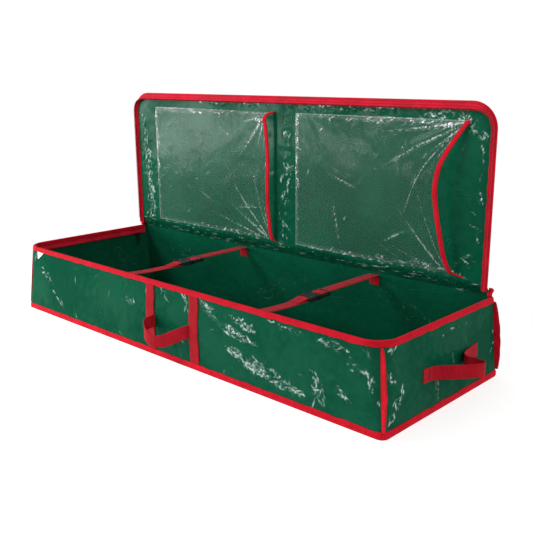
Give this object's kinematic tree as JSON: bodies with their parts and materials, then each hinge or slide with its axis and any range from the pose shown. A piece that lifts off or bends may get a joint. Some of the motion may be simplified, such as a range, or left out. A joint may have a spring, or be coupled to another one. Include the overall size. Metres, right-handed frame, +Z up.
{
  "type": "gift wrap organizer",
  "caption": "Long low fabric box with a fold-back zip lid, clear inner pockets, bound edges, buckled cross straps and webbing handles.",
  "frame": {"origin": "middle of the flat underside, at floor level", "axes": "+X along the length to the right end, +Y towards the back wall and the lid's fold, +Z up"},
  "size_m": [1.1598, 0.4231, 0.5065],
  "materials": {
    "green_fabric": "glossy woven polythene",
    "dark_green_fabric": "covered stiffener board",
    "red_tape": "matt bias tape",
    "red_webbing": "ribbed webbing",
    "clear_film": "clear gloss",
    "black_plastic": "moulded satin",
    "white_label": "satin ribbon",
    "stiffener_board": "grey board"
  },
  "bodies": {
    "base": {"back_panel": "green_fabric", "base_zipper_coil": "red_tape", "base_zipper_tape": "red_tape", "bottom_binding": "red_tape", "bottom_board": "dark_green_fabric", "bottom_panel": "green_fabric", "care_label": "white_label", "fabric_hinge": "green_fabric", "front_left_corner_binding": "red_tape", "front_panel": "green_fabric", "front_right_corner_binding": "red_tape", "front_webbing_left": "red_webbing", "front_webbing_right": "red_webbing", "left_buckle_socket": "black_plastic", "left_end_panel": "green_fabric", "left_handle_front_tab": "red_webbing", "left_handle_rear_tab": "red_webbing", "left_strap_back": "red_webbing", "left_strap_front": "red_webbing", "left_zipper_end_tab": "red_tape", "rear_left_corner_binding": "red_tape", "rear_right_corner_binding": "red_tape", "right_buckle_socket": "black_plastic", "right_end_panel": "green_fabric", "right_handle_front_tab": "red_webbing", "right_handle_rear_tab": "red_webbing", "right_strap_back": "red_webbing", "right_strap_front": "red_webbing", "right_zipper_end_tab": "red_tape", "rim_binding": "red_tape"},
    "lid": {"lid_board": "stiffener_board", "lid_cover": "green_fabric", "lid_edge_binding": "red_tape", "lid_fold": "green_fabric", "lid_lining": "green_fabric", "lid_zipper_coil": "red_tape", "lid_zipper_tape": "red_tape", "left_pocket_film": "clear_film", "left_pocket_mouth_binding": "red_tape", "right_pocket_film": "clear_film", "right_pocket_mouth_binding": "red_tape"},
    "front_handle": {"front_handle": "red_webbing"},
    "left_handle": {"left_handle": "red_webbing"},
    "right_handle": {"right_handle": "red_webbing"},
    "left_buckle_plug": {"left_buckle_plug": "black_plastic"},
    "right_buckle_plug": {"right_buckle_plug": "black_plastic"},
    "left_zipper_slider": {"left_zipper_slider": "black_plastic"},
    "right_zipper_slider": {"right_zipper_slider": "black_plastic"},
    "left_pull_tab": {"left_pull_tab": "black_plastic"},
    "right_pull_tab": {"right_pull_tab": "black_plastic"}
  },
  "joints": [
    {"name": "lid_hinge", "type": "hinge", "parent": "base", "child": "lid", "pos_m": [0, 0.16275, 0.176], "axis": [1, 0, 0], "range_deg": [-100, 89.2]},
    {"name": "front_handle_swing", "type": "hinge", "parent": "base", "child": "front_handle", "pos_m": [0.023, -0.18132, 0.0875], "axis": [-1, 0, 0], "range_deg": [0, 80]},
    {"name": "left_handle_swing", "type": "hinge", "parent": "base", "child": "left_handle", "pos_m": [-0.52388, 0.0135, 0.0875], "axis": [0, 1, 0], "range_deg": [0, 80]},
    {"name": "right_handle_swing", "type": "hinge", "parent": "base", "child": "right_handle", "pos_m": [0.52388, 0.0135, 0.0875], "axis": [0, -1, 0], "range_deg": [0, 80]},
    {"name": "left_buckle_release", "type": "slide", "parent": "base", "child": "left_buckle_plug", "axis": [0, 1, 0], "range_m": [0, 0.03]},
    {"name": "right_buckle_release", "type": "slide", "parent": "base", "child": "right_buckle_plug", "axis": [0, 1, 0], "range_m": [0, 0.03]},
    {"name": "left_zipper_run", "type": "slide", "parent": "base", "child": "left_zipper_slider", "axis": [0, -1, 0], "range_m": [0, 0.26]},
    {"name": "right_zipper_run", "type": "slide", "parent": "base", "child": "right_zipper_slider", "axis": [0, -1, 0], "range_m": [0, 0.26]},
    {"name": "left_pull_swing", "type": "hinge", "parent": "left_zipper_slider", "child": "left_pull_tab", "pos_m": [-0.50336, 0.146, 0.1369], "axis": [0, -1, 0], "range_deg": [0, 120]},
    {"name": "right_pull_swing", "type": "hinge", "parent": "right_zipper_slider", "child": "right_pull_tab", "pos_m": [0.50336, 0.146, 0.1369], "axis": [0, 1, 0], "range_deg": [0, 120]}
  ]
}
